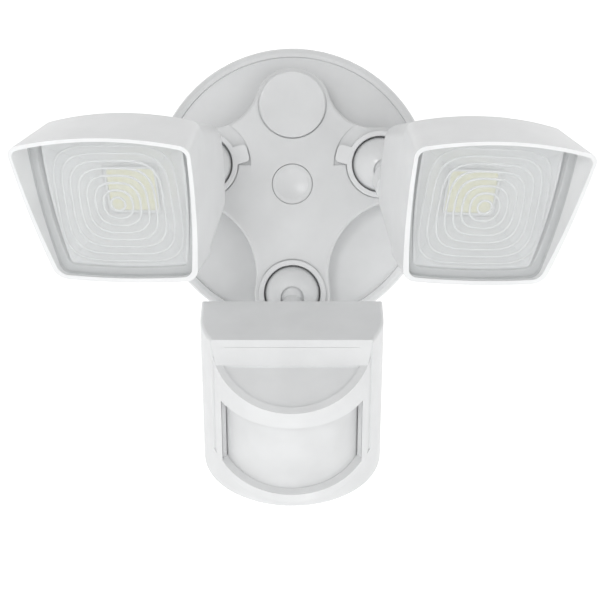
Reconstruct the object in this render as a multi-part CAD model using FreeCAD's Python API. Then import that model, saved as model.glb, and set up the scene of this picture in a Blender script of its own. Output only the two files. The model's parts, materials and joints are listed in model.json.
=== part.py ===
import FreeCAD, Part
import math
import os

# Wall-mounted twin floodlight with a motion sensor head.
# Millimetres, +Z up, the wall is the plane Y = 0 and the light faces -Y.
# The origin is the centre of the base's wall face.

V = FreeCAD.Vector
ORIGIN = V(0, 0, 0)
X_AXIS = V(1, 0, 0)
Y_AXIS = V(0, 1, 0)
Z_AXIS = V(0, 0, 1)
TO_FRONT = V(0, -1, 0)

# ---- Driving dimensions: base ----
BASE_R = 65.0
BASE_WALL = 2.4
RIM_DEPTH = 16.5
RIM_INNER_R = 60.5
RIM_EDGE_R = 2.5
FLOOR_EDGE_DEPTH = 15.2
FLOOR_CENTRE_DEPTH = 19.0
STAR_DEPTH = 30.0
STAR_DOME_R = 562.0
STAR_ROOT_DEPTH = 11.0
LOBE_R = 17.3
UPPER_SCALLOP_R = 21.0
LOWER_SCALLOP_R = 34.0
STAR_EDGE_R = 1.6
TOP_PORT = (0.0, 37.3)
LEFT_PORT = (-40.0, 10.0)
RIGHT_PORT = (40.0, 10.0)
BOTTOM_PORT = (0.0, -48.8)
CENTRE_Z = 1.0
CENTRE_WELL_R = 9.3
BOLT_R = 2.4
BOLT_CLEARANCE = 0.3

# ---- Driving dimensions: port joints ----
PORT_FACE = 28.2
PORT_WALL = 2.4
PORT_HOLE_R = 13.8
PORT_POCKET_R = 15.5
BALL_DEPTH = 26.0
CUP_R = 12.5
CUP_INNER_R = 11.1
CUP_FLANGE_R = 15.1
CUP_FLANGE = 1.4
BALL_R = 10.8
PIN_R = 2.0
RUNNING = 0.06
GAP = 0.3
STEM_R = 4.8
STEM_BORE_R = 2.6
NUT_FLATS = 10.5
SLOT_HALF = 5.2
RING_R = 15.2
RING_FRONT = 31.0
TAB_REACH = 20.5
TAB_WIDTH = 8.0
TAB_TRAVEL = 45.0
LAMP_TAB_ANGLE = 15.0
SENSOR_TAB_ANGLE = -35.0

# ---- Driving dimensions: lamp heads ----
# The lens centre is the head's own origin, its light goes along its own -Y.
NECK_BACK = 72.0
NECK_DROP = 9.0
LAMPS = {
    "left": dict(side=-1, port=LEFT_PORT, yaw=17.5, pitch=25.4, roll=-1.4, neck_in=14.0),
    "right": dict(side=1, port=RIGHT_PORT, yaw=16.3, pitch=25.8, roll=-1.0, neck_in=24.0),
}
BEZEL_BACK = 17.0
HEAD_BACK = 50.0
HEAD_WALL = 2.2
BEZEL_WALL = 1.7
LENS_THICK = 2.5
CHIP_BACK = 20.3
BOARD_SIDE = 46.0

# ---- Driving dimensions: sensor head ----
# The middle of the top rear edge is the head's own origin, it looks along its own -Y.
SENSOR_PITCH = 30.0
SENSOR_TOP_Y = -50.0
SENSOR_TOP_Z = -51.8
SENSOR_HALF = 40.0
SENSOR_ARC_Y = -14.0
SENSOR_HEIGHT = 73.5
SENSOR_WALL = 2.2
TOP_DEPTH = 34.0
RISER_FOOT = (-38.0, -10.3)
NOSE = (-60.0, -20.5)
HOOD_R = 35.0
HOOD_SKIRT = 7.3
HOOD_SKIRT_SLOPE = 8.0
LENS_SET_BACK = 3.5
LENS_FOOT_Z = -62.3
LENS_FOOT_SLOPE = 17.0
CHIN_FOOT_Z = -66.3
CHIN_SLOPE = 21.0
KNOB_R = 4.6
KNOB_X = 10.0
KNOB_Y = -18.0

PARTS = {}


# ---- Small building blocks ----
def keep(name, shape):
    """Store one finished sub-part under its node name."""
    PARTS[name] = shape


def disc(r, front, back, x=0.0, z=0.0):
    """Round solid along Y, from depth front to depth back in front of the wall."""
    return Part.makeCylinder(r, front - back, V(x, -front, z), Y_AXIS)


def ring(r_out, r_in, front, back, x=0.0, z=0.0):
    """Flat ring along Y."""
    return disc(r_out, front, back, x, z).cut(disc(r_in, front + 1, back - 1, x, z))


def box(x0, x1, y0, y1, z0, z1):
    """Box between two corners."""
    return Part.makeBox(x1 - x0, y1 - y0, z1 - z0, V(x0, y0, z0))


def extrude_x(points, half):
    """Solid from a (y, z) outline, extruded from -half to +half along X."""
    wire = Part.makePolygon([V(-half, y, z) for y, z in points + points[:1]])
    return Part.Face(wire).extrude(V(2 * half, 0, 0))


def revolve_y(points, x=0.0, z=0.0):
    """Solid of revolution about a line along Y, from a (radius, depth) outline."""
    wire = Part.makePolygon([V(x + r, -d, z) for r, d in points + points[:1]])
    return Part.Face(wire).revolve(V(x, 0, z), Y_AXIS, 360)


def dome(radius, depth):
    """Large ball whose front pole is at the given depth."""
    return Part.makeSphere(radius, V(0, radius - depth, 0))


def hex_prism(across_flats, start, direction, length):
    """Hexagonal solid from a start point along a direction."""
    circum = across_flats / math.sqrt(3)
    corners = [V(circum * math.cos(k * math.pi / 3), circum * math.sin(k * math.pi / 3), 0)
               for k in range(7)]
    solid = Part.Face(Part.makePolygon(corners)).extrude(V(0, 0, length))
    solid.Placement = FreeCAD.Placement(start, FreeCAD.Rotation(Z_AXIS, direction))
    return solid


# ---- Base ----
def star_outline(inset):
    """Four round lobes joined by hollow arcs, pulled in by inset all round."""
    lobe = LOBE_R - inset
    order = [TOP_PORT, RIGHT_PORT, BOTTOM_PORT, LEFT_PORT]
    scallops = [UPPER_SCALLOP_R, LOWER_SCALLOP_R, LOWER_SCALLOP_R, UPPER_SCALLOP_R]
    starts, ends, hollows = [], [], []
    for k, radius in enumerate(scallops):
        a = V(order[k][0], 0, order[k][1])
        b = V(order[(k + 1) % 4][0], 0, order[(k + 1) % 4][1])
        reach = radius + inset + lobe
        middle = (a + b) * 0.5
        along = b - a
        outward = V(along.z, 0, -along.x)
        if outward.dot(middle) < 0:
            outward = outward * -1
        outward.normalize()
        centre = middle + outward * math.sqrt(reach ** 2 - (along.Length / 2) ** 2)
        ends.append(a + (centre - a) * (lobe / reach))
        starts.append(b + (centre - b) * (lobe / reach))
        toward = (middle - centre)
        toward.normalize()
        hollows.append(centre + toward * (radius + inset))
    edges = []
    for k in range(4):
        tip = V(order[k][0], 0, order[k][1])
        tip_out = V(tip.x, 0, tip.z)
        tip_out.normalize()
        edges.append(Part.Arc(starts[k - 1], tip + tip_out * lobe, ends[k]).toShape())
        edges.append(Part.Arc(ends[k], hollows[k], starts[k]).toShape())
    return Part.Wire(edges)


def star_block(inset, front, back):
    """Star-shaped block with a domed front."""
    face = Part.Face(star_outline(inset))
    face.translate(V(0, -back, 0))
    block = face.extrude(V(0, -(front - back), 0))
    return block.common(dome(STAR_DOME_R, front))


def base_housing():
    """Round die-cast cover: rim, recessed floor, raised star, three open ports and one closed by a cap."""
    bowl = revolve_y([(0, 0), (BASE_R, 0), (BASE_R, RIM_DEPTH - RIM_EDGE_R),
                      (BASE_R - 0.7, RIM_DEPTH - 0.7), (BASE_R - RIM_EDGE_R, RIM_DEPTH),
                      (RIM_INNER_R + 0.4, RIM_DEPTH), (RIM_INNER_R, FLOOR_EDGE_DEPTH),
                      (0, FLOOR_CENTRE_DEPTH)])
    star = star_block(0, STAR_DEPTH, STAR_ROOT_DEPTH)
    crown = [e for e in star.Edges if e.BoundBox.YMax < -(PORT_FACE - 3.5)]
    star = star.makeFillet(STAR_EDGE_R, crown)
    body = bowl.fuse(star)
    hollow = revolve_y([(0, -1), (BASE_R - BASE_WALL, -1),
                        (BASE_R - BASE_WALL, FLOOR_EDGE_DEPTH - BASE_WALL - 1),
                        (RIM_INNER_R, FLOOR_EDGE_DEPTH - BASE_WALL),
                        (0, FLOOR_CENTRE_DEPTH - BASE_WALL)])
    star_hollow = star_block(BASE_WALL, STAR_DEPTH - BASE_WALL, 0)
    body = body.cut(hollow).cut(star_hollow)
    for x, z in (TOP_PORT, LEFT_PORT, RIGHT_PORT, BOTTOM_PORT):
        pad = disc(LOBE_R - BASE_WALL, PORT_FACE, PORT_FACE - PORT_WALL, x, z)
        body = body.fuse(pad)
        body = body.cut(disc(RING_R + 0.5, STAR_DEPTH + 5, PORT_FACE, x, z))
        body = body.cut(disc(PORT_HOLE_R, STAR_DEPTH + 5, PORT_FACE - PORT_WALL - 1, x, z))
        body = body.cut(disc(PORT_POCKET_R, PORT_FACE - PORT_WALL, 6.0, x, z))
    lamp_turns = ((RIGHT_PORT, 180 - LAMP_TAB_ANGLE - TAB_TRAVEL), (LEFT_PORT, LAMP_TAB_ANGLE))
    for port, first_angle in lamp_turns + ((BOTTOM_PORT, SENSOR_TAB_ANGLE),):
        body = body.cut(tab_recess(port, first_angle))
    boss = disc(CENTRE_WELL_R + 2.0, STAR_DEPTH - 1.0, 6.0, 0, CENTRE_Z)
    body = body.fuse(boss)
    body = body.cut(disc(CENTRE_WELL_R, STAR_DEPTH + 5, STAR_DEPTH - 6.0, 0, CENTRE_Z))
    body = body.cut(disc(BOLT_R + BOLT_CLEARANCE, STAR_DEPTH, 0, 0, CENTRE_Z))
    groove = ring(BASE_R - 0.8, BASE_R - BASE_WALL + 0.6, 1.6, -1)
    keep("base_housing", body.cut(groove).removeSplitter())


def tab_recess(port, first_angle):
    """Cutter for the shallow crescent in which a lock ring's tab travels."""
    margin = math.degrees(math.atan2(TAB_WIDTH / 2 + 0.5, RING_R))
    low, high = -(PORT_FACE - 0.05), -(STAR_DEPTH + 5)
    reach = TAB_REACH + 0.7
    panel = Part.Face(Part.makePolygon([V(0, low, 0), V(reach, low, 0), V(reach, high, 0),
                                        V(0, high, 0), V(0, low, 0)]))
    cutter = panel.revolve(ORIGIN, Y_AXIS, -(TAB_TRAVEL + 2 * margin))
    cutter.rotate(ORIGIN, Y_AXIS, -(first_angle - margin))
    cutter.translate(V(port[0], 0, port[1]))
    return cutter


def wall_gasket():
    """Foam ring in the housing's rear groove, flush with the wall."""
    keep("wall_gasket", ring(BASE_R - 0.8, BASE_R - BASE_WALL + 0.6, 1.6, 0))


def back_plate():
    """Steel plate inside the housing, with a wire hole and holes for the bracket and the bolt."""
    plate = disc(BASE_R - BASE_WALL - 0.4, 5.2, 4.0)
    plate = plate.cut(disc(11.0, 8, 2, 24, -24))
    plate = plate.cut(disc(BOLT_R + BOLT_CLEARANCE, 8, 2, 0, CENTRE_Z))
    for x in (-44.45, 44.45):
        plate = plate.cut(slot_along_x(x, 0, 5.5, 16.0, 8, 2))
    keep("back_plate", plate)


def slot_along_x(x, z, r, length, front, back):
    """Rounded slot cutter that runs along X."""
    half = length / 2 - r
    middle = box(x - half, x + half, -front, -back, z - r, z + r)
    return middle.fuse(disc(r, front, back, x - half, z)).fuse(disc(r, front, back, x + half, z))


def crossbar_bracket():
    """Steel strip fixed to the junction box; its tapped centre takes the mounting bolt."""
    strip = box(-56, 56, -2.4, -0.4, CENTRE_Z - 8, CENTRE_Z + 8)
    strip = strip.cut(disc(BOLT_R + 0.02, 5, -1, 0, CENTRE_Z))
    for x in (-44.45, 44.45):
        strip = strip.cut(slot_along_x(x, CENTRE_Z, 2.3, 14.0, 5, -1))
    strip = strip.cut(disc(2.02, 5, -1, 24, CENTRE_Z))
    keep("crossbar_bracket", strip)


def ground_screw():
    """Small green earth screw in the crossbar."""
    keep("ground_screw", disc(2.0, 2.5, 0.5, 24, CENTRE_Z).fuse(disc(3.4, 3.9, 2.41, 24, CENTRE_Z)))


def centre_hardware():
    """Mounting bolt in the centre well and the round plug that hides it."""
    head = STAR_DEPTH - 6.0
    bolt = disc(BOLT_R, head, 0.5, 0, CENTRE_Z).fuse(disc(4.6, head + 3.0, head, 0, CENTRE_Z))
    bolt = bolt.cut(box(-4, 4, -(head + 4), -(head + 1.8), CENTRE_Z - 0.6, CENTRE_Z + 0.6))
    keep("centre_mount_bolt", bolt)
    plug = disc(CENTRE_WELL_R - 0.1, STAR_DEPTH - 0.7, STAR_DEPTH - 2.6, 0, CENTRE_Z)
    plug = plug.makeFillet(0.6, [e for e in plug.Edges if e.BoundBox.YMax < -(STAR_DEPTH - 0.8)])
    dimple = Part.makeSphere(26.0, V(0, -(STAR_DEPTH - 0.7) - 25.0, CENTRE_Z))
    plug = plug.cut(dimple).cut(disc(5.2, STAR_DEPTH - 2.2, STAR_DEPTH - 3.0, 0, CENTRE_Z))
    keep("centre_bolt_plug", plug)


def top_port_cap():
    """Blanking cap that closes the spare top port, with its seal ring behind the wall."""
    x, z = TOP_PORT
    cap = disc(RING_R, PORT_FACE + 2.6, PORT_FACE + 0.02, x, z)
    cap = cap.makeFillet(0.9, [e for e in cap.Edges if e.BoundBox.YMax < -(PORT_FACE + 2.5)])
    cap = cap.fuse(disc(PORT_HOLE_R - 0.12, PORT_FACE + 0.5, PORT_FACE - 7.0, x, z))
    cap = cap.cut(disc(PORT_HOLE_R - 2.2, PORT_FACE + 0.4, PORT_FACE - 9.0, x, z))
    keep("top_port_cap", cap)
    behind = PORT_FACE - PORT_WALL
    keep("top_cap_nut", ring(CUP_FLANGE_R, PORT_HOLE_R - 0.1, behind - 0.02, behind - 3.2, x, z))


def driver_case():
    """Sealed LED driver on the back plate, between the side ports and the bottom port."""
    case = box(-33, -13.0, -13.4, -5.3, -26, 24)
    keep("driver_case", case.makeFillet(1.5, [e for e in case.Edges if e.BoundBox.YLength > 5]))


# ---- Port joints ----
def sector_slot(centre, lean, pin_axis, low, high):
    """Cutter for the stem's slot: it sweeps from low to high degrees about the pin axis."""
    def along(angle):
        return FreeCAD.Rotation(pin_axis, angle).multVec(lean)
    reach = CUP_R + 6.0
    cutter = Part.makeCylinder(SLOT_HALF, reach, centre, along(low))
    cutter = cutter.fuse(Part.makeCylinder(SLOT_HALF, reach, centre, along(high)))
    start = along(low)
    side = pin_axis * SLOT_HALF
    panel = Part.makePolygon([centre - side, centre + side, centre + side + start * reach,
                              centre - side + start * reach, centre - side])
    return cutter.fuse(Part.Face(panel).revolve(centre, pin_axis, high - low))


def port_joint(name, port, lean, stem, slot_low, slot_high, tab_angle):
    """One swivel joint: lock ring, swivel cup with its pin, ball with its hollow stem, rear seat.

    lean is the stem's direction, and stem lists its lengths: collar start, collar end, tip.
    """
    x, z = port
    centre = V(x, -BALL_DEPTH, z)
    pin_axis = lean.cross(TO_FRONT)
    pin_axis.normalize()
    wall_back = PORT_FACE - PORT_WALL

    cup = Part.makeSphere(CUP_R, centre)
    cup = cup.common(disc(CUP_R + 2, BALL_DEPTH + CUP_R + 1, wall_back - GAP - CUP_FLANGE, x, z))
    cup = cup.fuse(disc(CUP_FLANGE_R, wall_back - GAP, wall_back - GAP - CUP_FLANGE, x, z))
    cup = cup.cut(Part.makeSphere(CUP_INNER_R, centre))
    cup = cup.cut(sector_slot(centre, lean, pin_axis, slot_low, slot_high))
    pin_start = centre - pin_axis * (CUP_R - 0.3)
    pin_length = 2 * (CUP_R - 0.3)
    cup = cup.cut(Part.makeCylinder(PIN_R + 0.01, 2 * CUP_R, centre - pin_axis * CUP_R, pin_axis))
    keep(name + "_swivel_cup", cup)
    keep(name + "_pivot_pin", Part.makeCylinder(PIN_R, pin_length, pin_start, pin_axis))

    collar_start, collar_end, tip = stem
    ball = Part.makeSphere(BALL_R, centre)
    ball = ball.fuse(Part.makeCylinder(STEM_R, tip, centre, lean))
    ball = ball.fuse(Part.makeCylinder(6.4, collar_end - collar_start, centre + lean * collar_start, lean))
    ball = ball.cut(Part.makeCylinder(STEM_BORE_R, tip + 30, centre - lean * 15, lean))
    ball = ball.cut(Part.makeCylinder(PIN_R + RUNNING, 3 * BALL_R, centre - pin_axis * 1.5 * BALL_R, pin_axis))
    keep(name + "_ball_stem", ball)

    seat_front = wall_back - 2 * GAP - CUP_FLANGE
    keep(name + "_seat_ring", ring(PORT_POCKET_R - 0.02, BALL_R + 1.2, seat_front, seat_front - 2.4, x, z))

    lock = ring(RING_R, CUP_R + 0.35, RING_FRONT, PORT_FACE + 0.15, x, z)
    lock = lock.makeFillet(0.5, [e for e in lock.Edges if e.BoundBox.YMax < -(RING_FRONT - 0.01)])
    lock = lock.fuse(ring(PORT_HOLE_R - 0.08, CUP_R + 0.35, PORT_FACE + 1, wall_back - 0.1, x, z))
    tab = box(CUP_R + 1.2, TAB_REACH, -RING_FRONT, -(PORT_FACE + 0.15), -TAB_WIDTH / 2, TAB_WIDTH / 2)
    tab = tab.makeFillet(2.0, [e for e in tab.Edges if e.BoundBox.XMin > TAB_REACH - 0.1
                               and e.BoundBox.YLength > 2])
    tab.rotate(ORIGIN, Y_AXIS, -tab_angle)
    tab.translate(V(x, 0, z))
    keep(name + "_lock_ring", lock.fuse(tab))
    return centre, pin_axis


# ---- Lamp heads ----
def outline_wire(y, top_half, bottom_half, top_z, bottom_z, top_bow, bottom_bow, side_bow):
    """Four bowed edges round a shape that is wider at the top, in the plane at y."""
    top_left, top_right = V(-top_half, y, top_z), V(top_half, y, top_z)
    low_right, low_left = V(bottom_half, y, bottom_z), V(-bottom_half, y, bottom_z)
    middle_half = (top_half + bottom_half) / 2 + side_bow
    middle_z = (top_z + bottom_z) / 2
    return Part.Wire([
        Part.Arc(top_left, V(0, y, top_z + top_bow), top_right).toShape(),
        Part.Arc(top_right, V(middle_half, y, middle_z), low_right).toShape(),
        Part.Arc(low_right, V(0, y, bottom_z - bottom_bow), low_left).toShape(),
        Part.Arc(low_left, V(-middle_half, y, middle_z), top_left).toShape(),
    ])


def lamp_block(front, back, inset=0.0, top_r=5.0, low_r=7.0):
    """Tapered block between two depths of the lamp head, pulled in by inset, corners rounded."""
    def section(y):
        grow = (BEZEL_BACK - y) / (BEZEL_BACK + 12.0)
        return (y, 36.0 + 5.0 * grow - inset, 31.8 + 1.0 * grow - inset, 31.0 - 1.0 * grow - inset,
                -(32.8 + 0.5 * grow) + inset, 4.6, 1.4, 1.6)
    solid = Part.makeLoft([outline_wire(*section(front)), outline_wire(*section(back))], True, True)
    return round_corners(solid, top_r - inset * 0.5, low_r - inset * 0.5)


def round_corners(solid, top_r, low_r):
    """Round the long corner edges of a block that runs along Y."""
    long_edges = [e for e in solid.Edges
                  if abs(e.Vertexes[0].Point.y - e.Vertexes[-1].Point.y) > 0.5]
    upper = [e for e in long_edges if e.CenterOfMass.z > 0]
    lower = [e for e in long_edges if e.CenterOfMass.z < 0]
    solid = solid.makeFillet(top_r, upper)
    lower = [e for e in solid.Edges if any(e.CenterOfMass.isEqual(old.CenterOfMass, 0.01)
                                           for old in lower)]
    return solid.makeFillet(low_r, lower)


def lamp_tub(inset, back):
    """Tapered rear tub, from the bezel back to the rear wall."""
    front = outline_wire(BEZEL_BACK, 35.6 - inset, 31.4 - inset, 30.6 - inset, -(32.4 - inset), 4.6, 1.4, 1.6)
    rear = outline_wire(back, 33.0 - inset, 30.0 - inset, 17.5 - inset, -(21.5 - inset), 3.0, 1.4, 1.2)
    return round_corners(Part.makeLoft([front, rear], True, True), 7.0 - inset, 8.0 - inset)


def place_lamp(side, port, yaw, pitch, roll, neck_in, **_):
    """Placement of a lamp head, with its light direction and its ball centre."""
    rotation = FreeCAD.Rotation(Z_AXIS, side * yaw).multiply(FreeCAD.Rotation(X_AXIS, pitch))
    rotation = rotation.multiply(FreeCAD.Rotation(Y_AXIS, -roll))
    ball = V(port[0], -BALL_DEPTH, port[1])
    neck = V(-side * neck_in, NECK_BACK, -NECK_DROP)
    origin = ball - rotation.multVec(neck)
    return FreeCAD.Placement(origin, rotation), rotation.multVec(TO_FRONT), neck


def lamp_head(name, spec):
    """One lamp head: tub, visor bezel, lens, gasket, reflector, LED board, chip, heat sink."""
    placement, light, neck = place_lamp(**spec)
    pieces = {}

    shell = lamp_block(-12.0, BEZEL_BACK)
    slant = extrude_x([(-40, -60), (-1.6, -60), (-1.6, -33.5), (-11.6, 36), (-11.6, 60), (-40, 60)], 80)
    shell = shell.cut(slant)
    opening_front = (-12.5, 39.6, 31.2, 28.4, -31.9, 4.6, 1.4, 1.6)
    opening_back = (0.1, 36.2, 30.0, 28.6, -31.0, 4.6, 1.4, 1.6)
    opening = Part.makeLoft([outline_wire(*opening_front), outline_wire(*opening_back)], True, True)
    shell = shell.cut(round_corners(opening, 4.0, 5.0))
    shell = shell.cut(lamp_block(0.0, BEZEL_BACK + 1.0, BEZEL_WALL))
    pieces["visor_bezel"] = shell

    inset = BEZEL_WALL + 0.15
    pieces["lens"] = lamp_block(0.05, LENS_THICK, inset)
    window = lamp_block(-2.0, BEZEL_BACK, inset + 3.0)
    pieces["lens_gasket"] = lamp_block(LENS_THICK + 0.02, 4.0, inset).cut(window)

    flange = lamp_block(4.02, 5.2, inset).cut(lamp_block(2.0, 6.5, inset + 2.6))
    cone_front = outline_wire(4.02, 31.6, 26.9, 26.2, -28.0, 4.6, 1.4, 1.6)
    cone_back = outline_wire(CHIP_BACK - 0.3, 14.0, 14.0, 12.5, -12.5, 0.3, 0.3, 0.3)
    outer = Part.makeLoft([cone_front, cone_back], True, True)
    hole_front = outline_wire(4.0, 30.6, 25.9, 25.2, -27.0, 4.6, 1.4, 1.6)
    hole_back = outline_wire(CHIP_BACK - 0.2, 12.8, 12.8, 11.3, -11.3, 0.3, 0.3, 0.3)
    inner = Part.makeLoft([hole_front, hole_back], True, True)
    pieces["reflector"] = flange.fuse(outer).cut(inner)

    half = BOARD_SIDE / 2
    pieces["led_chip"] = box(-11.0, 11.0, CHIP_BACK - 0.9, CHIP_BACK, -9.5, 9.5)
    pieces["led_board"] = box(-half, half, CHIP_BACK + 0.02, CHIP_BACK + 1.6, -half + 4, half - 4)
    sink = box(-half, half, CHIP_BACK + 1.62, CHIP_BACK + 5.0, -half + 5, half - 5)
    for k in range(7):
        fin_x = -half + 1.0 + k * (BOARD_SIDE - 4.0) / 6
        sink = sink.fuse(box(fin_x, fin_x + 2.0, CHIP_BACK + 4.0, CHIP_BACK + 15.0, -half + 8, half - 8))
    pieces["heat_sink"] = sink

    tub = lamp_tub(0.0, HEAD_BACK)
    tub = tub.makeFillet(5.0, [e for e in tub.Edges if e.BoundBox.YMin > HEAD_BACK - 0.5])
    hollow = lamp_tub(HEAD_WALL, HEAD_BACK - HEAD_WALL)
    lip = lamp_block(BEZEL_BACK - 4.0, BEZEL_BACK + 0.2, BEZEL_WALL + 0.2).cut(
        lamp_block(BEZEL_BACK - 5.0, BEZEL_BACK + 1.0, BEZEL_WALL + 1.6))
    tub = tub.cut(hollow).fuse(lip)
    collar = Part.makeCylinder(8.6, 6.0 + 3.0, V(neck.x, HEAD_BACK - 3.0, neck.z), Y_AXIS)
    collar = collar.makeFillet(1.2, [e for e in collar.Edges if e.BoundBox.YMin > HEAD_BACK + 5.9])
    inner_pad = Part.makeCylinder(9.6, 2.4, V(neck.x, HEAD_BACK - 2.4 - HEAD_WALL, neck.z), Y_AXIS)
    tub = tub.fuse(collar).fuse(inner_pad)
    tub = tub.cut(Part.makeCylinder(STEM_R + RUNNING, 40, V(neck.x, HEAD_BACK - 20, neck.z), Y_AXIS))
    pieces["rear_housing"] = tub
    for piece, shape in pieces.items():
        shape.Placement = placement.multiply(shape.Placement)
        keep("%s_lamp_%s" % (name, piece), shape)

    centre = placement.multVec(neck)
    nut_back = NECK_BACK - HEAD_BACK + HEAD_WALL + 2.4 + GAP
    nut = hex_prism(NUT_FLATS, centre + light * nut_back, light, 3.4)
    nut = nut.cut(Part.makeCylinder(STEM_R + 0.01, 60, centre, light))
    keep(name + "_lamp_neck_nut", nut)
    tab_angle = 180.0 - LAMP_TAB_ANGLE if spec["side"] > 0 else LAMP_TAB_ANGLE
    collar_end = NECK_BACK - HEAD_BACK - 6.0 - GAP
    port_joint(name + "_lamp", spec["port"], light, (collar_end - 1.6, collar_end, nut_back + 4.4),
               -22.0, 12.0, tab_angle)


# ---- Sensor head ----
def d_prism(half, arc_y, top, bottom, back=0.0):
    """Upright block with straight sides at the back and a round front."""
    block = Part.makeCylinder(half, top - bottom, V(0, arc_y, bottom), Z_AXIS)
    rear = box(-half, half, arc_y, back, bottom, top)
    return block.common(box(-half, half, arc_y - half - 1, arc_y, bottom, top)).fuse(rear)


def above(y, z, slope):
    """Everything above a plane through (y, z) that drops toward the front by slope degrees."""
    rise = math.tan(math.radians(slope))
    return extrude_x([(-120, z - (120 + y) * rise), (60, z + (60 - y) * rise), (60, 200), (-120, 200)], 90)


def below(y, z, slope):
    """Everything below the same plane."""
    rise = math.tan(math.radians(slope))
    return extrude_x([(-120, z - (120 + y) * rise), (60, z + (60 - y) * rise), (60, -300), (-120, -300)], 90)


def sensor_rear_housing():
    """Back shell with a full round foot below the chin, open toward the lens."""
    body = d_prism(SENSOR_HALF, SENSOR_ARC_Y, 0, -SENSOR_HEIGHT)
    cavity = d_prism(SENSOR_HALF - SENSOR_WALL, SENSOR_ARC_Y, -SENSOR_WALL, -SENSOR_HEIGHT + SENSOR_WALL,
                     -SENSOR_WALL)
    body = body.makeFillet(1.6, [e for e in body.Edges if e.BoundBox.ZMin > -0.1
                                 or e.BoundBox.ZMax < -SENSOR_HEIGHT + 0.1])
    front = box(-60, 60, -120, -TOP_DEPTH, -300, 20)
    foot = below(NOSE[0], CHIN_FOOT_Z, CHIN_SLOPE)
    body = body.cut(front.cut(foot)).cut(cavity)
    foot_lid = d_prism(SENSOR_HALF - 1.0, SENSOR_ARC_Y, 0, -SENSOR_HEIGHT).common(foot)
    foot_lid = foot_lid.cut(below(NOSE[0], CHIN_FOOT_Z - 2.0, CHIN_SLOPE)).common(front)
    body = body.fuse(foot_lid)
    collar = Part.makeCylinder(7.0, 3.0, V(0, 0, SENSOR_NECK.z), Y_AXIS)
    pad = Part.makeCylinder(9.0, 2.0, V(0, -SENSOR_WALL - 2.0, SENSOR_NECK.z - 2.0), Y_AXIS)
    body = body.fuse(collar).fuse(pad)
    body = body.cut(Part.makeCylinder(STEM_R + RUNNING, 40, V(0, -20, SENSOR_NECK.z), Y_AXIS))
    body = body.cut(box(-21, 21, KNOB_Y - 8, KNOB_Y + 8, -SENSOR_HEIGHT - 1, -SENSOR_HEIGHT + 1.4))
    for x in (-KNOB_X, KNOB_X):
        body = body.cut(Part.makeCylinder(1.8 + RUNNING, 12, V(x, KNOB_Y, -SENSOR_HEIGHT - 2), Z_AXIS))
    return body


def sensor_hood():
    """Stepped hood over the lens: riser, sloped recessed face and a round skirt."""
    slope = math.degrees(math.atan2(RISER_FOOT[1] - NOSE[1], RISER_FOOT[0] - NOSE[0]))
    arc_y = NOSE[0] + HOOD_R
    nose = Part.makeCylinder(HOOD_R, 60, V(0, arc_y, -60), Z_AXIS).cut(box(-60, 60, arc_y + 4, 60, -90, 20))
    nose = nose.common(box(-60, 60, -120, -TOP_DEPTH - 0.02, -90, 20))
    lip = nose.common(above(NOSE[0], NOSE[1] - HOOD_SKIRT, HOOD_SKIRT_SLOPE))
    lip = lip.cut(above(NOSE[0], NOSE[1], slope))
    riser = extrude_x([(-TOP_DEPTH - 0.02, 0), RISER_FOOT, (RISER_FOOT[0], -16), (-TOP_DEPTH - 0.02, -16)], 36.6)
    widths = Part.Face(Part.makePolygon([V(-31.4, 0, -16), V(31.4, 0, -16), V(34.4, 0, -1), V(34.4, 0, 0),
                                         V(-34.4, 0, 0), V(-34.4, 0, -1), V(-31.4, 0, -16)]))
    riser = riser.common(widths.extrude(V(0, -90, 0)))
    body = lip.fuse(riser)
    inner = Part.makeCylinder(HOOD_R - 2.2, 60, V(0, arc_y, -62), Z_AXIS)
    inner = inner.cut(above(NOSE[0], NOSE[1] - 3.4, slope)).cut(box(-60, 60, arc_y + 4, 60, -90, 20))
    body = body.cut(inner)
    face = Part.makeCylinder(HOOD_R - 3.0, 60, V(0, arc_y, -60), Z_AXIS)
    face = face.common(above(NOSE[0], NOSE[1] - 1.1, slope)).cut(box(-60, 60, RISER_FOOT[0], 60, -90, 20))
    body = body.cut(face)
    riser_hollow = extrude_x([(-TOP_DEPTH + 1, -3), (-TOP_DEPTH - 1.2, -3), (RISER_FOOT[0] + 2.2, -12.5),
                              (RISER_FOOT[0] + 2.2, -18), (-TOP_DEPTH + 1, -18)], 29.0)
    return body.cut(riser_hollow)


def sensor_lens():
    """Milky half-round window, a thin curved wall."""
    arc_y = NOSE[0] + HOOD_R
    radius = HOOD_R - LENS_SET_BACK
    wall = Part.makeCylinder(radius, 80, V(0, arc_y, -80), Z_AXIS)
    wall = wall.cut(Part.makeCylinder(radius - 1.2, 90, V(0, arc_y, -85), Z_AXIS))
    wall = wall.common(box(-60, 60, -120, -TOP_DEPTH - 0.8, -90, 0))
    wall = wall.cut(above(NOSE[0], NOSE[1] - HOOD_SKIRT + 1.4, HOOD_SKIRT_SLOPE))
    return wall.cut(below(NOSE[0], LENS_FOOT_Z - 1.4, LENS_FOOT_SLOPE))


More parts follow.
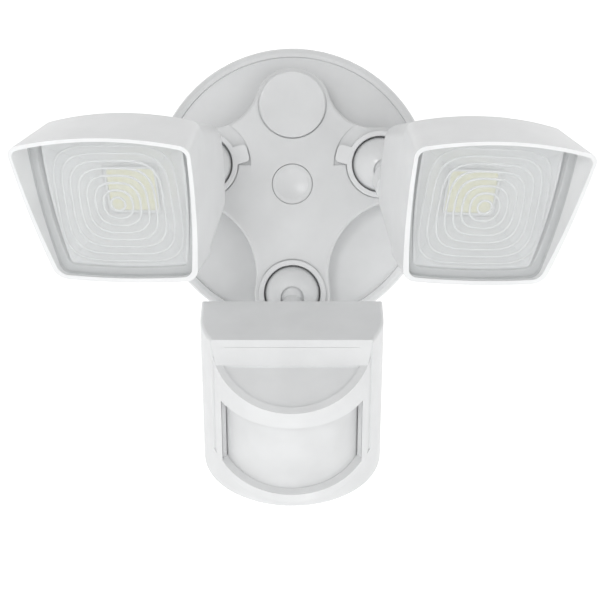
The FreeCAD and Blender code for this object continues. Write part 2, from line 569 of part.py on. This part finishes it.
def sensor_lens_frame():
    """Chin under the lens, with two upright strips beside it."""
    arc_y = NOSE[0] + HOOD_R
    radius = HOOD_R - LENS_SET_BACK
    chin = Part.makeCylinder(HOOD_R, 80, V(0, arc_y, -85), Z_AXIS).common(
        box(-60, 60, -120, -TOP_DEPTH - 0.02, -90, 0))
    strips = chin.cut(box(-30.4, 30.4, -120, 0, -90, 0))
    strips = strips.common(box(-60, 60, RISER_FOOT[0] - 6.0, 0, -90, 0))
    strips = strips.cut(above(NOSE[0], NOSE[1] - HOOD_SKIRT - 0.03, HOOD_SKIRT_SLOPE))
    floor = chin.cut(above(NOSE[0], LENS_FOOT_Z, LENS_FOOT_SLOPE))
    body = floor.fuse(strips)
    body = body.cut(below(NOSE[0], CHIN_FOOT_Z + 0.03, CHIN_SLOPE))
    groove = Part.makeCylinder(radius + 0.1, 80, V(0, arc_y, -80), Z_AXIS).cut(
        Part.makeCylinder(radius - 1.3, 90, V(0, arc_y, -85), Z_AXIS))
    groove = groove.common(box(-60, 60, -120, -TOP_DEPTH - 0.5, -90, 0))
    return body.cut(groove.cut(below(NOSE[0], LENS_FOOT_Z - 1.5, LENS_FOOT_SLOPE)))


def sensor_electronics():
    """Board behind the lens with the motion element, the photocell and the indicator."""
    board_y = -31.0
    board = box(-26, 26, board_y, board_y + 1.6, -60, -16)
    pir = Part.makeCylinder(4.6, 4.2, V(0, board_y - 0.02, -44), TO_FRONT)
    pir = pir.fuse(Part.makeCylinder(5.3, 0.6, V(0, board_y - 0.02, -44), TO_FRONT))
    cell = Part.makeCylinder(2.6, 2.2, V(12, board_y - 0.02, -44), TO_FRONT)
    led = Part.makeCylinder(1.5, 3.0, V(-12, board_y - 0.02, -44), TO_FRONT)
    led = led.fuse(Part.makeSphere(1.5, V(-12, board_y - 3.02, -44)))
    return {"circuit_board": board, "pir_element": pir, "photocell": cell, "status_led": led}


def sensor_knob(x):
    """Grooved knob under the foot, on a shaft that runs through the wall."""
    top = -SENSOR_HEIGHT + 1.4 - 0.15
    knob = Part.makeCylinder(KNOB_R, 3.6, V(x, KNOB_Y, top - 3.6), Z_AXIS)
    knob = knob.makeFillet(0.5, [e for e in knob.Edges if e.BoundBox.ZMax < top - 3.5])
    for k in range(12):
        angle = k * math.pi / 6
        notch = V(x + KNOB_R * math.cos(angle), KNOB_Y + KNOB_R * math.sin(angle), top - 5)
        knob = knob.cut(Part.makeCylinder(0.45, 8, notch, Z_AXIS))
    knob = knob.cut(box(x - 0.5, x + 0.5, KNOB_Y - 3.2, KNOB_Y + 3.2, top - 4, top - 2.8))
    return knob.fuse(Part.makeCylinder(1.8, 6.0, V(x, KNOB_Y, top - 1.0), Z_AXIS))


def sensor_screw(x, z):
    """Case screw in the rear face."""
    screw = Part.makeCylinder(2.6, 1.2, V(x, 0.02, z), Y_AXIS)
    return screw.cut(box(x - 2.0, x + 2.0, 0.8, 2.0, z - 0.4, z + 0.4))


def sensor_head():
    """Place every piece of the sensor head and its joint on the bottom port."""
    rotation = FreeCAD.Rotation(X_AXIS, SENSOR_PITCH)
    placement = FreeCAD.Placement(V(0, SENSOR_TOP_Y, SENSOR_TOP_Z), rotation)
    light = rotation.multVec(TO_FRONT)
    pieces = {
        "rear_housing": sensor_rear_housing(),
        "front_hood": sensor_hood(),
        "window": sensor_lens(),
        "window_frame": sensor_lens_frame(),
        "knob_time": sensor_knob(-KNOB_X),
        "knob_range": sensor_knob(KNOB_X),
        "case_screw_left": sensor_screw(-30, -46),
        "case_screw_right": sensor_screw(30, -46),
    }
    pieces.update(sensor_electronics())
    for piece, shape in pieces.items():
        shape.Placement = placement.multiply(shape.Placement)
        keep("sensor_" + piece, shape)
    centre = placement.multVec(SENSOR_NECK)
    nut_back = SENSOR_NECK.y + SENSOR_WALL + 2.0 + GAP
    nut = hex_prism(NUT_FLATS, centre + light * nut_back, light, 3.4)
    nut = nut.cut(Part.makeCylinder(STEM_R + 0.01, 60, centre, light))
    keep("sensor_neck_nut", nut)
    collar_end = SENSOR_NECK.y - 3.0 - GAP
    port_joint("sensor", BOTTOM_PORT, light, (collar_end - 1.6, collar_end, nut_back + 4.4),
               -20.0, 20.0, SENSOR_TAB_ANGLE)


def sensor_neck():
    """Ball centre of the sensor's joint, in the sensor head's own frame."""
    inverse = FreeCAD.Rotation(X_AXIS, SENSOR_PITCH).inverted()
    return inverse.multVec(V(0, -BALL_DEPTH - SENSOR_TOP_Y, BOTTOM_PORT[1] - SENSOR_TOP_Z))


SENSOR_NECK = sensor_neck()

base_housing()
wall_gasket()
back_plate()
crossbar_bracket()
ground_screw()
centre_hardware()
top_port_cap()
driver_case()
for lamp_name, lamp_spec in LAMPS.items():
    lamp_head(lamp_name, lamp_spec)
sensor_head()

os.makedirs("parts", exist_ok=True)
for node, solid in PARTS.items():
    solid.exportStep("parts/%s.step" % node)
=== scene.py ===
import json
import math

import bmesh
import bpy
from mathutils import Matrix, Vector


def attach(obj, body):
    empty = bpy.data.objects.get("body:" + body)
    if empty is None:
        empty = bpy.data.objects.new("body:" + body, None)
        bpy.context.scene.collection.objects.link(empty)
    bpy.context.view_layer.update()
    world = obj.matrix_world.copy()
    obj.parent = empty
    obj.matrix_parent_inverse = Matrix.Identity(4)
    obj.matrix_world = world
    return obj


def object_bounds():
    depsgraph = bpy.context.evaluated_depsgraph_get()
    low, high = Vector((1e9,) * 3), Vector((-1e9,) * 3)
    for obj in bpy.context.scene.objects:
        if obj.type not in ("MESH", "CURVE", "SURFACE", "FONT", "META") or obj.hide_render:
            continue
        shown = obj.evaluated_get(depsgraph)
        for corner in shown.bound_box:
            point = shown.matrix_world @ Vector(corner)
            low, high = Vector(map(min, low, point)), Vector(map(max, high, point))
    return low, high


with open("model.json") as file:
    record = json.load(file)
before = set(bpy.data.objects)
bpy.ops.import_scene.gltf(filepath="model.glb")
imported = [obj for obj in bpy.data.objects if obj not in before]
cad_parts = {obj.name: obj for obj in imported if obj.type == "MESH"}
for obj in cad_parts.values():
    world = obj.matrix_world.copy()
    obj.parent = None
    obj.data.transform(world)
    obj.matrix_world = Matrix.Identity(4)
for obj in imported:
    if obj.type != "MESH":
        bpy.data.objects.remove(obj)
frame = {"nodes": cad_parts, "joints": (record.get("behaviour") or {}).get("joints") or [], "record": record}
cad_low, cad_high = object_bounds()
scene = bpy.context.scene

# ---- Driving values, in millimetres and degrees unless they are scaled by MM ----
MM = 0.001
LAMPS = {
    "left_lamp": dict(side=-1, yaw=17.5, pitch=25.4, roll=-1.4, neck_in=14.0),
    "right_lamp": dict(side=1, yaw=16.3, pitch=25.8, roll=-1.0, neck_in=24.0),
}
NECK_BACK = 72.0
NECK_DROP = 9.0
CHIP_BACK = 20.3
SENSOR_PITCH = 30.0
SENSOR_TOP = Vector((0.0, -50.0, -51.8)) * MM
SENSOR_HEIGHT = 73.5
FLOOR_RECESS = 1.4
KNOB_X = 10.0
KNOB_Y = -18.0
CAMERA_AT = Vector((3.5, -800.0, -51.8)) * MM
VIEW_WIDTH = 283.6 * MM    # width of the wall plane that the camera sees
FILM_WIDTH = 36.0


# ---- Materials ----
def new_material(name):
    """Material with a Principled shader, returned with its node tree and shader."""
    material = bpy.data.materials.new(name)
    material.use_nodes = True
    return material, material.node_tree, material.node_tree.nodes["Principled BSDF"]


def texture(tree, kind, scale):
    """Texture node in object space, so that it stays with the surface."""
    coord = tree.nodes.new("ShaderNodeTexCoord")
    node = tree.nodes.new("ShaderNodeTex" + kind)
    node.inputs["Scale"].default_value = scale
    tree.links.new(coord.outputs["Object"], node.inputs["Vector"])
    return node


def noise(tree, scale, detail):
    """Noise texture."""
    node = texture(tree, "Noise", scale)
    node.inputs["Detail"].default_value = detail
    return node


def ramp(tree, source, low, high, start=0.3, end=0.7):
    """Colour ramp between two colours over a texture value."""
    node = tree.nodes.new("ShaderNodeValToRGB")
    node.color_ramp.elements[0].position = start
    node.color_ramp.elements[1].position = end
    node.color_ramp.elements[0].color = (*low, 1.0)
    node.color_ramp.elements[1].color = (*high, 1.0)
    tree.links.new(source, node.inputs["Fac"])
    return node


def add_bump(tree, shader, height, strength, distance):
    """Bump from a height socket into the shader's normal."""
    node = tree.nodes.new("ShaderNodeBump")
    node.inputs["Strength"].default_value = strength
    node.inputs["Distance"].default_value = distance
    tree.links.new(height, node.inputs["Height"])
    tree.links.new(node.outputs["Normal"], shader.inputs["Normal"])


ROUGHNESS_SPREAD = 0.06
GRAIN_HEIGHT = 0.00008


def tinted(name, low, high, rough, patch=60.0, grain=900.0, bump=0.15, metallic=0.0, coat=0.0):
    """Surface with slow tone changes, a fine grain in its bump and uneven roughness."""
    material, tree, shader = new_material(name)
    tone = noise(tree, patch, 4.0)
    colour = ramp(tree, tone.outputs["Fac"], low, high)
    tree.links.new(colour.outputs["Color"], shader.inputs["Base Color"])
    spread = tree.nodes.new("ShaderNodeMapRange")
    spread.inputs["To Min"].default_value = rough - ROUGHNESS_SPREAD
    spread.inputs["To Max"].default_value = rough + ROUGHNESS_SPREAD
    tree.links.new(tone.outputs["Fac"], spread.inputs["Value"])
    tree.links.new(spread.outputs["Result"], shader.inputs["Roughness"])
    shader.inputs["Metallic"].default_value = metallic
    shader.inputs["Coat Weight"].default_value = coat
    shader.inputs["Coat Roughness"].default_value = 0.12
    fine = noise(tree, grain, 2.0)
    add_bump(tree, shader, fine.outputs["Fac"], bump, GRAIN_HEIGHT)
    return material


def grey(value):
    """Neutral colour with a slight cool tint."""
    return (value * 0.985, value * 0.995, value)


def clear_cover():
    """Clear moulded cover: mostly see-through, with a soft white haze and a clean reflection."""
    material, tree, shader = new_material("clear_cover")
    shader.inputs["Base Color"].default_value = (0.84, 0.86, 0.87, 1.0)
    shader.inputs["Roughness"].default_value = 0.08
    shader.inputs["Alpha"].default_value = 0.26
    shader.inputs["IOR"].default_value = 1.49
    shader.inputs["Coat Weight"].default_value = 0.6
    shader.inputs["Coat Roughness"].default_value = 0.04
    ripple = noise(tree, 90.0, 2.0)
    add_bump(tree, shader, ripple.outputs["Fac"], 0.06, 0.0004)
    return material


def painted_glint_rings():
    """Moulded optic rings on the back of the cover: clear plastic painted near-white, a painted highlight
    standing for light caught in the ring edges.
    """
    material, tree, shader = new_material("optic_ring")
    # near-white, mostly opaque colour: painted highlight of the clear ring edges
    shader.inputs["Base Color"].default_value = (0.97, 0.98, 0.98, 1.0)
    shader.inputs["Roughness"].default_value = 0.16
    shader.inputs["Alpha"].default_value = 0.8
    shader.inputs["IOR"].default_value = 1.49
    ripple = noise(tree, 300.0, 2.0)
    add_bump(tree, shader, ripple.outputs["Fac"], 0.08, 0.0002)
    return material


def milky():
    """Milky window: thin polyethylene, with light that soaks in and fine flow ripples."""
    material, tree, shader = new_material("milky_window")
    tone = noise(tree, 45.0, 3.0)
    colour = ramp(tree, tone.outputs["Fac"], grey(0.68), grey(0.75))
    tree.links.new(colour.outputs["Color"], shader.inputs["Base Color"])
    shader.inputs["Roughness"].default_value = 0.32
    shader.inputs["Subsurface Weight"].default_value = 0.1
    shader.inputs["Subsurface Radius"].default_value = (0.6, 0.6, 0.6)
    shader.inputs["Subsurface Scale"].default_value = 0.004
    fine = noise(tree, 500.0, 2.0)
    add_bump(tree, shader, fine.outputs["Fac"], 0.12, GRAIN_HEIGHT)
    return material


def phosphor():
    """Yellow phosphor coat with a fine die pattern under it."""
    material, tree, shader = new_material("phosphor")
    cells = texture(tree, "Voronoi", 420.0)
    cells.inputs["Randomness"].default_value = 0.15
    colour = ramp(tree, cells.outputs["Distance"], (0.93, 0.90, 0.46), (0.97, 0.96, 0.64), 0.1, 0.6)
    tree.links.new(colour.outputs["Color"], shader.inputs["Base Color"])
    shader.inputs["Roughness"].default_value = 0.4
    add_bump(tree, shader, cells.outputs["Distance"], 0.25, 0.0002)
    return material


def board_coat(name, low, high):
    """Circuit board lacquer with faint track relief."""
    material, tree, shader = new_material(name)
    brick = texture(tree, "Brick", 90.0)
    brick.inputs["Mortar Size"].default_value = 0.08
    brick.inputs["Color1"].default_value = (*low, 1.0)
    brick.inputs["Color2"].default_value = (*low, 1.0)
    brick.inputs["Mortar"].default_value = (*high, 1.0)
    tree.links.new(brick.outputs["Color"], shader.inputs["Base Color"])
    shader.inputs["Roughness"].default_value = 0.35
    add_bump(tree, shader, brick.outputs["Fac"], 0.2, 0.00006)
    return material


def dotted(name, colour, scale):
    """Rubber or foam with small closed cells."""
    material, tree, shader = new_material(name)
    cells = texture(tree, "Voronoi", scale)
    shade = ramp(tree, cells.outputs["Distance"], [c * 0.85 for c in colour], colour, 0.0, 0.5)
    tree.links.new(shade.outputs["Color"], shader.inputs["Base Color"])
    shader.inputs["Roughness"].default_value = 0.75
    add_bump(tree, shader, cells.outputs["Distance"], 0.35, 0.0002)
    return material


LOOKS = {
    "base_white": tinted("base_white", grey(0.71), grey(0.76), 0.36, coat=0.25, bump=0.10),
    "lamp_white": tinted("lamp_white", grey(0.79), grey(0.84), 0.32, coat=0.35, bump=0.08),
    "sensor_white": tinted("sensor_white", grey(0.74), grey(0.79), 0.42, grain=1400.0, bump=0.12),
    "clear_lens": clear_cover(),
    "reflector_white": tinted("reflector_white", grey(0.88), grey(0.93), 0.18, coat=0.3, bump=0.05),
    "phosphor": phosphor(),
    "led_board": board_coat("led_board", (0.84, 0.85, 0.85), (0.90, 0.90, 0.90)),
    "heat_sink": tinted("heat_sink", grey(0.52), grey(0.62), 0.42, metallic=1.0, bump=0.3),
    "milky_window": milky(),
    "gasket": dotted("gasket", (0.62, 0.63, 0.63), 1800.0),
    "zinc_steel": tinted("zinc_steel", (0.55, 0.56, 0.58), (0.68, 0.69, 0.72), 0.33, patch=35.0,
                         metallic=1.0, bump=0.18),
    "screw_steel": tinted("screw_steel", (0.52, 0.52, 0.53), (0.62, 0.62, 0.63), 0.28, metallic=1.0),
    "green_screw": tinted("green_screw", (0.05, 0.26, 0.09), (0.09, 0.36, 0.13), 0.35, metallic=0.6),
    "driver_case": tinted("driver_case", grey(0.62), grey(0.68), 0.55, grain=700.0, bump=0.25),
    "circuit_board": board_coat("circuit_board", (0.03, 0.20, 0.09), (0.07, 0.32, 0.15)),
    "can_steel": tinted("can_steel", grey(0.58), grey(0.66), 0.25, metallic=1.0, bump=0.1),
    "photocell": dotted("photocell", (0.55, 0.33, 0.16), 1200.0),
    "red_led": tinted("red_led", (0.45, 0.03, 0.02), (0.58, 0.05, 0.04), 0.12, coat=0.6),
    "knob_grey": tinted("knob_grey", grey(0.30), grey(0.36), 0.5, grain=1200.0, bump=0.2),
    # optic ring finish: its near-white colour is a painted highlight for light in the clear ring edges
    "optic_ring": painted_glint_rings(),
    "print_grey": tinted("print_grey", grey(0.30), grey(0.36), 0.5),
}


def dress_nodes():
    """Give each CAD node the finish of its slot in the record."""
    slots = {entry["node"]: entry.get("material_slot", entry["node"])
             for entry in frame["record"]["subparts"]}
    for name, node in frame["nodes"].items():
        node.data.materials.clear()
        node.data.materials.append(LOOKS[slots[name]])


# ---- Placing pieces in the heads ----
def joint(name):
    """Joint of the frame by name."""
    return next(j for j in frame["joints"] if j["name"] == name)


def turn(axis, degrees):
    """Rotation about a coordinate axis."""
    return Matrix.Rotation(math.radians(degrees), 4, axis)


def lamp_matrix(name):
    """Matrix of a lamp head's own frame: lens centre at the origin, light along -Y."""
    spec = LAMPS[name]
    rotation = turn("Z", spec["side"] * spec["yaw"]) @ turn("X", spec["pitch"]) @ turn("Y", -spec["roll"])
    neck = Vector((-spec["side"] * spec["neck_in"], NECK_BACK, -NECK_DROP)) * MM
    origin = Vector(joint(name + "_tilt")["pos_m"]) - rotation.to_3x3() @ neck
    return Matrix.Translation(origin) @ rotation


def sensor_matrix():
    """Matrix of the sensor head's own frame: middle of the top rear edge at the origin."""
    return Matrix.Translation(SENSOR_TOP) @ turn("X", SENSOR_PITCH)


def finish_piece(name, mesh, matrix, look, body, smooth=True):
    """Link a mesh given in millimetres, give it a look and let it ride on its body."""
    mesh.transform(matrix @ Matrix.Scale(MM, 4))
    if smooth:
        mesh.shade_smooth()
    mesh.materials.append(LOOKS[look])
    piece = bpy.data.objects.new(name, mesh)
    scene.collection.objects.link(piece)
    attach(piece, body)


def sweep(name, path, profile, closed=True):
    """Mesh of a closed profile swept along a path of (point, side, up) stations."""
    mesh = bpy.data.meshes.new(name)
    work = bmesh.new()
    rows = []
    for point, side, up in path:
        rows.append([work.verts.new(point + side * a + up * b) for a, b in profile])
    count = len(rows)
    size = len(profile)
    last = count if closed else count - 1
    for k in range(last):
        here, there = rows[k], rows[(k + 1) % count]
        for m in range(size):
            n = (m + 1) % size
            work.faces.new((here[m], here[n], there[n], there[m]))
    if not closed:
        work.faces.new(list(reversed(rows[0])))
        work.faces.new(rows[-1])
    bmesh.ops.recalc_face_normals(work, faces=work.faces)
    work.to_mesh(mesh)
    work.free()
    return mesh


# ---- Lamp optics ----
RING_COUNT = 8
RING_FIRST = 3.0
RING_STEP = 3.3
RING_WIDEN = 1.06
RING_BACK = 2.55
RING_SQUARING = 0.35
RING_OUTLINE = [(-0.55, 0.0), (0.55, 0.0), (0.15, 0.9), (-0.15, 0.9)]
CHIP_HALF_WIDTH = 11.05
CHIP_HALF_HEIGHT = 9.55
DAM_DEPTH = CHIP_BACK - 1.0
DAM_SQUARENESS = 14.0
DAM_OUTLINE = [(0, -0.2), (1.1, -0.2), (1.1, 0.4), (0.8, 0.65), (0.3, 0.65), (0, 0.4)]


def ring_path(half_w, half_h, power, y, count=96):
    """Stations round a rounded square in the plane at y; a power of 2 makes it an ellipse."""
    stations = []
    for k in range(count):
        angle = 2 * math.pi * k / count
        c, s = math.cos(angle), math.sin(angle)
        x = math.copysign(abs(c) ** (2 / power), c) * half_w
        z = math.copysign(abs(s) ** (2 / power), s) * half_h
        side = Vector((x / half_w ** 2, 0, z / half_h ** 2)).normalized()
        stations.append((Vector((x, y, z)), side, Vector((0, 1, 0))))
    return stations


def lamp_optics(name):
    """Moulded rings behind the lens: round in the middle, squarer toward the edge."""
    matrix = lamp_matrix(name)
    for k in range(RING_COUNT):
        size = RING_FIRST + k * RING_STEP
        stations = ring_path(size * RING_WIDEN, size, 2.0 + RING_SQUARING * k, RING_BACK)
        mesh = sweep("%s_optic_ring_%d" % (name, k + 1), stations, RING_OUTLINE)
        # the optic_ring finish paints a highlight onto these clear rings
        finish_piece(mesh.name, mesh, matrix, "optic_ring", name + "_head")


def lamp_chip_frame(name):
    """White dam round the phosphor."""
    matrix = lamp_matrix(name)
    stations = ring_path(CHIP_HALF_WIDTH, CHIP_HALF_HEIGHT, DAM_SQUARENESS, DAM_DEPTH, 128)
    mesh = sweep(name + "_chip_dam", [(p, s, -u) for p, s, u in stations], DAM_OUTLINE)
    finish_piece(mesh.name, mesh, matrix, "reflector_white", name + "_head")


# ---- Sensor details ----
BEAD_OUTLINE = [(30.3, 35.4), (30.3, 40.8), (28.6, 39.4)]
BEAD_TOP = -25.5
BEAD_FOOT = -56.3
TICK_COUNT = 7
TICK_STEP = 45.0
TICK_RADIUS = 5.3
TICK_LENGTH = 1.2
FIRST_TICK_LENGTH = 2.0
TICK_OUTLINE = [(-0.22, 0.05), (0.22, 0.05), (0.22, -0.08), (-0.22, -0.08)]


def window_beads():
    """Beads that fill the corner between the window and the strip on each side of it."""
    matrix = sensor_matrix()
    for name, side in (("left", -1), ("right", 1)):
        path = [(Vector((0, 0, z)), Vector((side, 0, 0)), Vector((0, -1, 0)))
                for z in (BEAD_TOP, BEAD_FOOT)]
        mesh = sweep("sensor_window_bead_" + name, path, BEAD_OUTLINE, closed=False)
        finish_piece(mesh.name, mesh, matrix, "sensor_white", "sensor_head", smooth=False)


def knob_marks():
    """Printed marks round the two knobs, on the underside of the sensor; the first is longer."""
    matrix = sensor_matrix()
    floor_z = FLOOR_RECESS - SENSOR_HEIGHT
    for knob, x in (("sensor_knob_time", -KNOB_X), ("sensor_knob_range", KNOB_X)):
        for k in range(TICK_COUNT):
            angle = math.radians((k - (TICK_COUNT - 1) / 2) * TICK_STEP)
            radial = Vector((math.sin(angle), -math.cos(angle), 0))
            across = Vector((radial.y, -radial.x, 0))
            start = Vector((x, KNOB_Y, floor_z)) + radial * TICK_RADIUS
            length = TICK_LENGTH if k else FIRST_TICK_LENGTH
            path = [(start + radial * t * length, across, Vector((0, 0, 1))) for t in (0.0, 0.5, 1.0)]
            mesh = sweep("%s_tick_%d" % (knob, k + 1), path, TICK_OUTLINE, closed=False)
            finish_piece(mesh.name, mesh, matrix, "print_grey", "sensor_head", smooth=False)


# ---- Studio, in metres ----
FLOOR_DROP = 0.09
FLOOR_FRONT = -6.0
FLOOR_BACK = 1.6
BEND_RADIUS = 0.8
BEND_STEPS = 16
WALL_HEIGHT = 6.0
STAGE_HALF_WIDTH = 6.0
KEY_PLACE = Vector((-0.5, -1.5, 0.35))
FILL_PLACE = Vector((0.9, -1.1, -0.1))


def stage_sweep():
    """Pale floor that curves up into a wall far behind the object."""
    mesh = bpy.data.meshes.new("studio_floor")
    work = bmesh.new()
    floor_z = cad_low.z - FLOOR_DROP
    outline = [(FLOOR_FRONT, floor_z), (FLOOR_BACK, floor_z)]
    for k in range(1, BEND_STEPS + 1):
        angle = math.pi / 2 * k / BEND_STEPS
        outline.append((FLOOR_BACK + BEND_RADIUS * math.sin(angle),
                        floor_z + BEND_RADIUS * (1 - math.cos(angle))))
    outline.append((FLOOR_BACK + BEND_RADIUS, floor_z + WALL_HEIGHT))
    rows = [[work.verts.new((x, y, z)) for x in (-STAGE_HALF_WIDTH, STAGE_HALF_WIDTH)] for y, z in outline]
    for (a, b), (c, d) in zip(rows, rows[1:]):
        work.faces.new((a, b, d, c))
    bmesh.ops.recalc_face_normals(work, faces=work.faces)
    work.to_mesh(mesh)
    work.free()
    mesh.shade_smooth()
    material, _, shader = new_material("studio_white")
    shader.inputs["Base Color"].default_value = (0.93, 0.93, 0.93, 1.0)
    shader.inputs["Roughness"].default_value = 0.9
    shader.inputs["Emission Color"].default_value = (1.0, 1.0, 1.0, 1.0)
    shader.inputs["Emission Strength"].default_value = 0.45
    mesh.materials.append(material)
    floor = bpy.data.objects.new("studio_floor", mesh)
    scene.collection.objects.link(floor)


def softbox(name, place, target, size, power):
    """Large soft area light aimed at a point."""
    data = bpy.data.lights.new(name, "AREA")
    data.shape = "DISK"
    data.size = size
    data.energy = power
    lamp = bpy.data.objects.new(name, data)
    scene.collection.objects.link(lamp)
    lamp.location = place
    lamp.rotation_mode = "QUATERNION"
    lamp.rotation_quaternion = (target - place).to_track_quat("-Z", "Y")


def studio_light():
    """Even white surroundings, a soft key from the front left and a weak fill from the front right."""
    world = bpy.data.worlds.new("studio_world")
    world.use_nodes = True
    backdrop = world.node_tree.nodes["Background"]
    backdrop.inputs["Color"].default_value = (1.0, 1.0, 1.0, 1.0)
    backdrop.inputs["Strength"].default_value = 0.56
    scene.world = world
    middle = (cad_low + cad_high) / 2
    softbox("key_light", middle + KEY_PLACE, middle, 0.5, 4.0)
    softbox("fill_light", middle + FILL_PLACE, middle, 0.6, 1.2)
    scene.view_settings.view_transform = "Standard"
    scene.view_settings.look = "None"


def camera():
    """Camera level with the sensor's top edge, looking along +Y."""
    data = bpy.data.cameras.new("camera")
    data.sensor_width = FILM_WIDTH
    data.lens = FILM_WIDTH * -CAMERA_AT.y / VIEW_WIDTH
    eye = bpy.data.objects.new("camera", data)
    eye.location = CAMERA_AT
    eye.rotation_euler = (math.radians(90.0), 0.0, 0.0)
    scene.collection.objects.link(eye)
    scene.camera = eye


camera()
dress_nodes()
for lamp_name in LAMPS:
    lamp_optics(lamp_name)
    lamp_chip_frame(lamp_name)
window_beads()
knob_marks()
stage_sweep()
studio_light()
